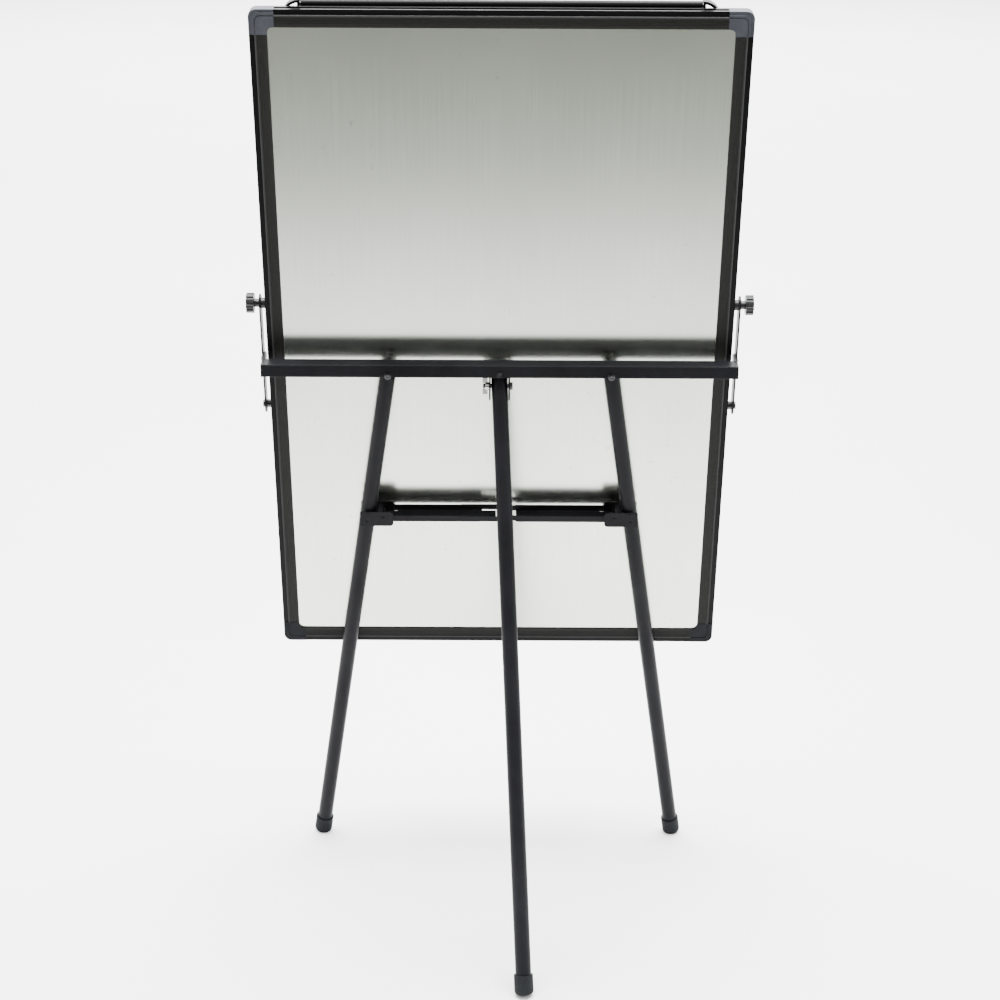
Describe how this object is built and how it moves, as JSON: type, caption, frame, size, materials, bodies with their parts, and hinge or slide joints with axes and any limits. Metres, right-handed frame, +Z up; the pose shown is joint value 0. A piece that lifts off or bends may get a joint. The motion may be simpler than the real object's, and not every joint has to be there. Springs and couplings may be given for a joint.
{
  "type": "flipchart easel",
  "caption": "Tripod flipchart easel: black-framed tilting board on a crossbar with folding side legs, hinged channel brace and a hinged rear leg.",
  "frame": {"origin": "floor level, middle of the whole footprint", "axes": "+Z up, the whiteboard faces -Y, +X is the right side seen from the front"},
  "size_m": [0.6584, 0.4495, 1.2504],
  "materials": {
    "black_extrusion": "satin black anodised, fine lengthwise ribs",
    "black_powder_coat": "satin black powder coat",
    "galvanised_sheet": "satin zinc, fine upright grain",
    "honeycomb_core": "plain board",
    "white_enamel": "gloss white",
    "slate_plastic": "fine grain",
    "black_rubber": "matt",
    "black_plastic": "satin",
    "zinc_steel": "zinc plated",
    "black_zinc": "black zinc plated"
  },
  "bodies": {
    "crossbar_frame": {"crossbar": "black_powder_coat", "crossbar_end_left": "black_powder_coat", "crossbar_end_right": "black_powder_coat", "leg_pivot_screws": "black_zinc", "leg_pivot_nuts": "black_zinc", "bevel_washers": "black_zinc", "rear_leg_bracket": "black_powder_coat", "bracket_screw": "black_zinc", "rear_pivot_bolt": "black_zinc", "rear_wing_nut": "zinc_steel", "tilt_bolts": "zinc_steel"},
    "side_arms": {"side_arm_left": "black_powder_coat", "side_arm_right": "black_powder_coat", "guide_studs": "black_zinc", "slot_nuts": "zinc_steel", "spacer_washers": "black_plastic"},
    "board": {"back_sheet": "galvanised_sheet", "board_core": "honeycomb_core", "whiteboard_surface": "white_enamel", "frame_left": "black_extrusion", "frame_right": "black_extrusion", "frame_top": "black_extrusion", "frame_bottom": "black_extrusion", "corner_top_left": "slate_plastic", "corner_top_right": "slate_plastic", "corner_bottom_left": "slate_plastic", "corner_bottom_right": "slate_plastic", "pen_tray": "black_extrusion", "tray_cap_left": "black_plastic", "tray_cap_right": "black_plastic", "clamp_bracket_left": "black_powder_coat", "clamp_bracket_right": "black_powder_coat", "clamp_pins": "zinc_steel"},
    "pad_clamp": {"clamp_bar": "black_extrusion", "clamp_grip_strip": "black_rubber"},
    "knob_left": {"clamp_knob_left": "black_plastic", "knob_stud_left": "zinc_steel"},
    "knob_right": {"clamp_knob_right": "black_plastic", "knob_stud_right": "zinc_steel"},
    "leg_right": {"side_leg_right": "black_powder_coat", "leg_plug_right": "black_plastic", "foot_right": "black_rubber", "leg_clip_right": "black_powder_coat", "clip_rivets_right": "black_powder_coat", "brace_pin_right": "black_powder_coat"},
    "leg_left": {"side_leg_left": "black_powder_coat", "leg_plug_left": "black_plastic", "foot_left": "black_rubber", "leg_clip_left": "black_powder_coat", "clip_rivets_left": "black_powder_coat", "brace_pin_left": "black_powder_coat"},
    "brace_right": {"brace_channel_right": "black_powder_coat", "hinge_strap_right": "black_powder_coat"},
    "brace_left": {"brace_channel_left": "black_powder_coat", "hinge_strap_left": "black_powder_coat"},
    "leg_rear": {"rear_leg": "black_powder_coat", "rear_leg_plug": "black_plastic", "foot_rear": "black_rubber"}
  },
  "joints": [
    {"name": "side_leg_right_fold", "type": "hinge", "parent": "crossbar_frame", "child": "leg_right", "pos_m": [0.1453, -0.0595, 0.7715], "axis": [0, 0.9812, -0.1931], "range_deg": [0, 17.5]},
    {"name": "side_leg_left_fold", "type": "hinge", "parent": "crossbar_frame", "child": "leg_left", "pos_m": [-0.1453, -0.0595, 0.7715], "axis": [0, -0.9812, 0.1931], "range_deg": [0, 17.5]},
    {"name": "brace_right_fold", "type": "hinge", "parent": "leg_right", "child": "brace_right", "pos_m": [0.157, -0.10197, 0.55564], "axis": [0, 0.9812, -0.1931], "range_deg": [0, 37.4]},
    {"name": "brace_left_fold", "type": "hinge", "parent": "leg_left", "child": "brace_left", "pos_m": [-0.157, -0.10197, 0.55564], "axis": [0, -0.9812, 0.1931], "range_deg": [0, 37.4]},
    {"name": "rear_leg_fold", "type": "hinge", "parent": "crossbar_frame", "child": "leg_rear", "pos_m": [0, -0.0595, 0.752], "axis": [-1, 0, 0], "range_deg": [0, 11.5]},
    {"name": "board_tilt", "type": "hinge", "parent": "crossbar_frame", "child": "side_arms", "pos_m": [0, -0.09761, 0.77683], "axis": [-1, 0, 0], "range_deg": [0, 40]},
    {"name": "board_height", "type": "slide", "parent": "side_arms", "child": "board", "axis": [0, 0.1633, 0.9866], "range_m": [-0.1, 0.3]},
    {"name": "pad_clamp_open", "type": "hinge", "parent": "board", "child": "pad_clamp", "pos_m": [0, -0.0377, 1.2428], "axis": [-1, 0, 0], "range_deg": [0, 50]},
    {"name": "knob_left_turn", "type": "hinge", "parent": "side_arms", "child": "knob_left", "pos_m": [-0.305, -0.08455, 0.85576], "axis": [1, 0, 0], "continuous": true},
    {"name": "knob_right_turn", "type": "hinge", "parent": "side_arms", "child": "knob_right", "pos_m": [0.305, -0.08455, 0.85576], "axis": [1, 0, 0], "continuous": true}
  ],
  "couplings": [
    {"joint": "side_leg_left_fold", "follows": "side_leg_right_fold", "ratio": 1},
    {"joint": "brace_right_fold", "follows": "side_leg_right_fold", "ratio": 2.1364},
    {"joint": "brace_left_fold", "follows": "side_leg_right_fold", "ratio": 2.1364}
  ]
}
